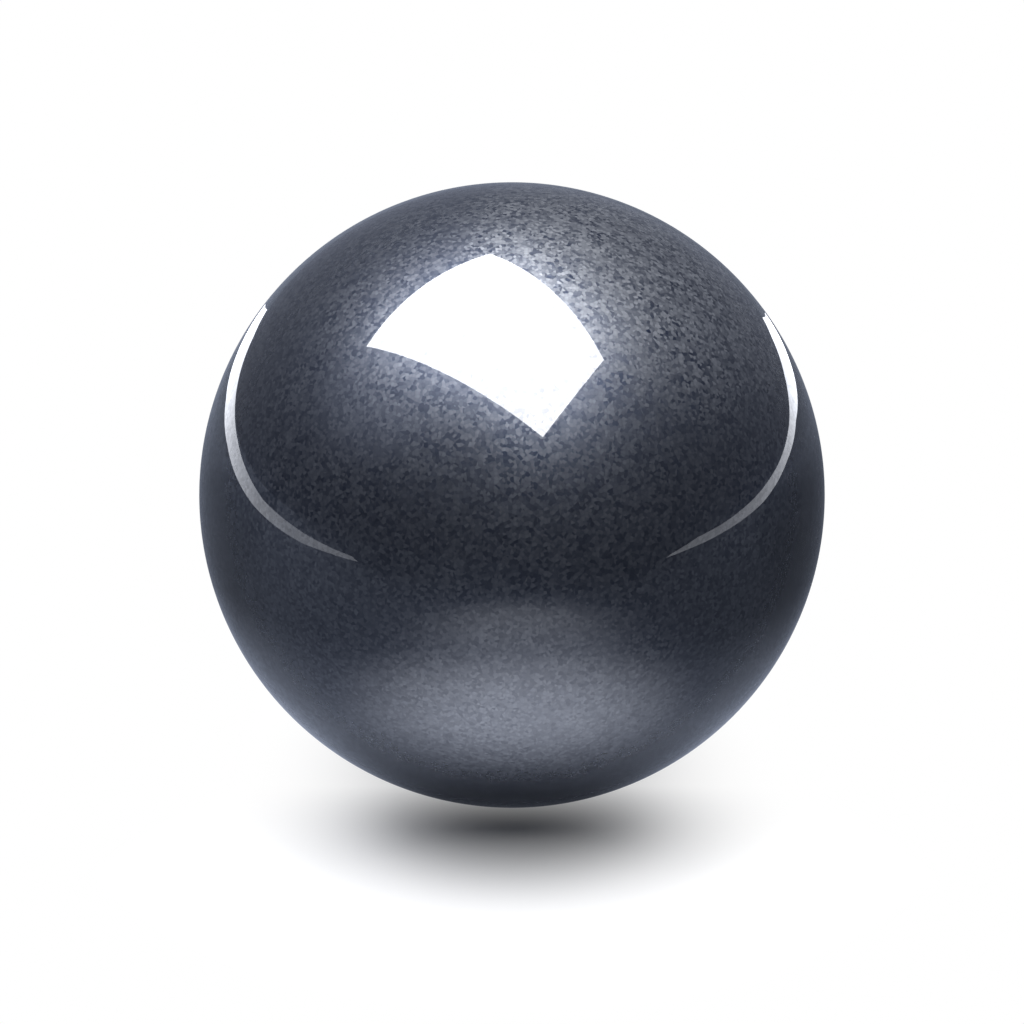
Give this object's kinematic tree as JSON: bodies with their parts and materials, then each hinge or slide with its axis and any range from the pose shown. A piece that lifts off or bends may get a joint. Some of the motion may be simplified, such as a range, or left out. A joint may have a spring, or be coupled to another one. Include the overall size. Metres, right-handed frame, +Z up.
{
  "type": "pool ball",
  "caption": "Plain charcoal pool ball, a glossy metal-flecked cast-resin layer over a resin core with its locating pin; it rolls on a table.",
  "frame": {"origin": "centre of the ball", "axes": "+Z up, along the axis of the locating pin, whose ground end is at the bottom, -Z; the side that the picture shows faces -Y, seen from about 22 degrees above the table"},
  "size_m": [0.0572, 0.0572, 0.0572],
  "materials": {
    "flecked_resin": "polished",
    "core_resin": "matte",
    "pin_resin": "polished"
  },
  "bodies": {
    "root": {"outer_layer": "flecked_resin", "core": "core_resin", "locating_pin": "pin_resin"}
  },
  "joints": []
}
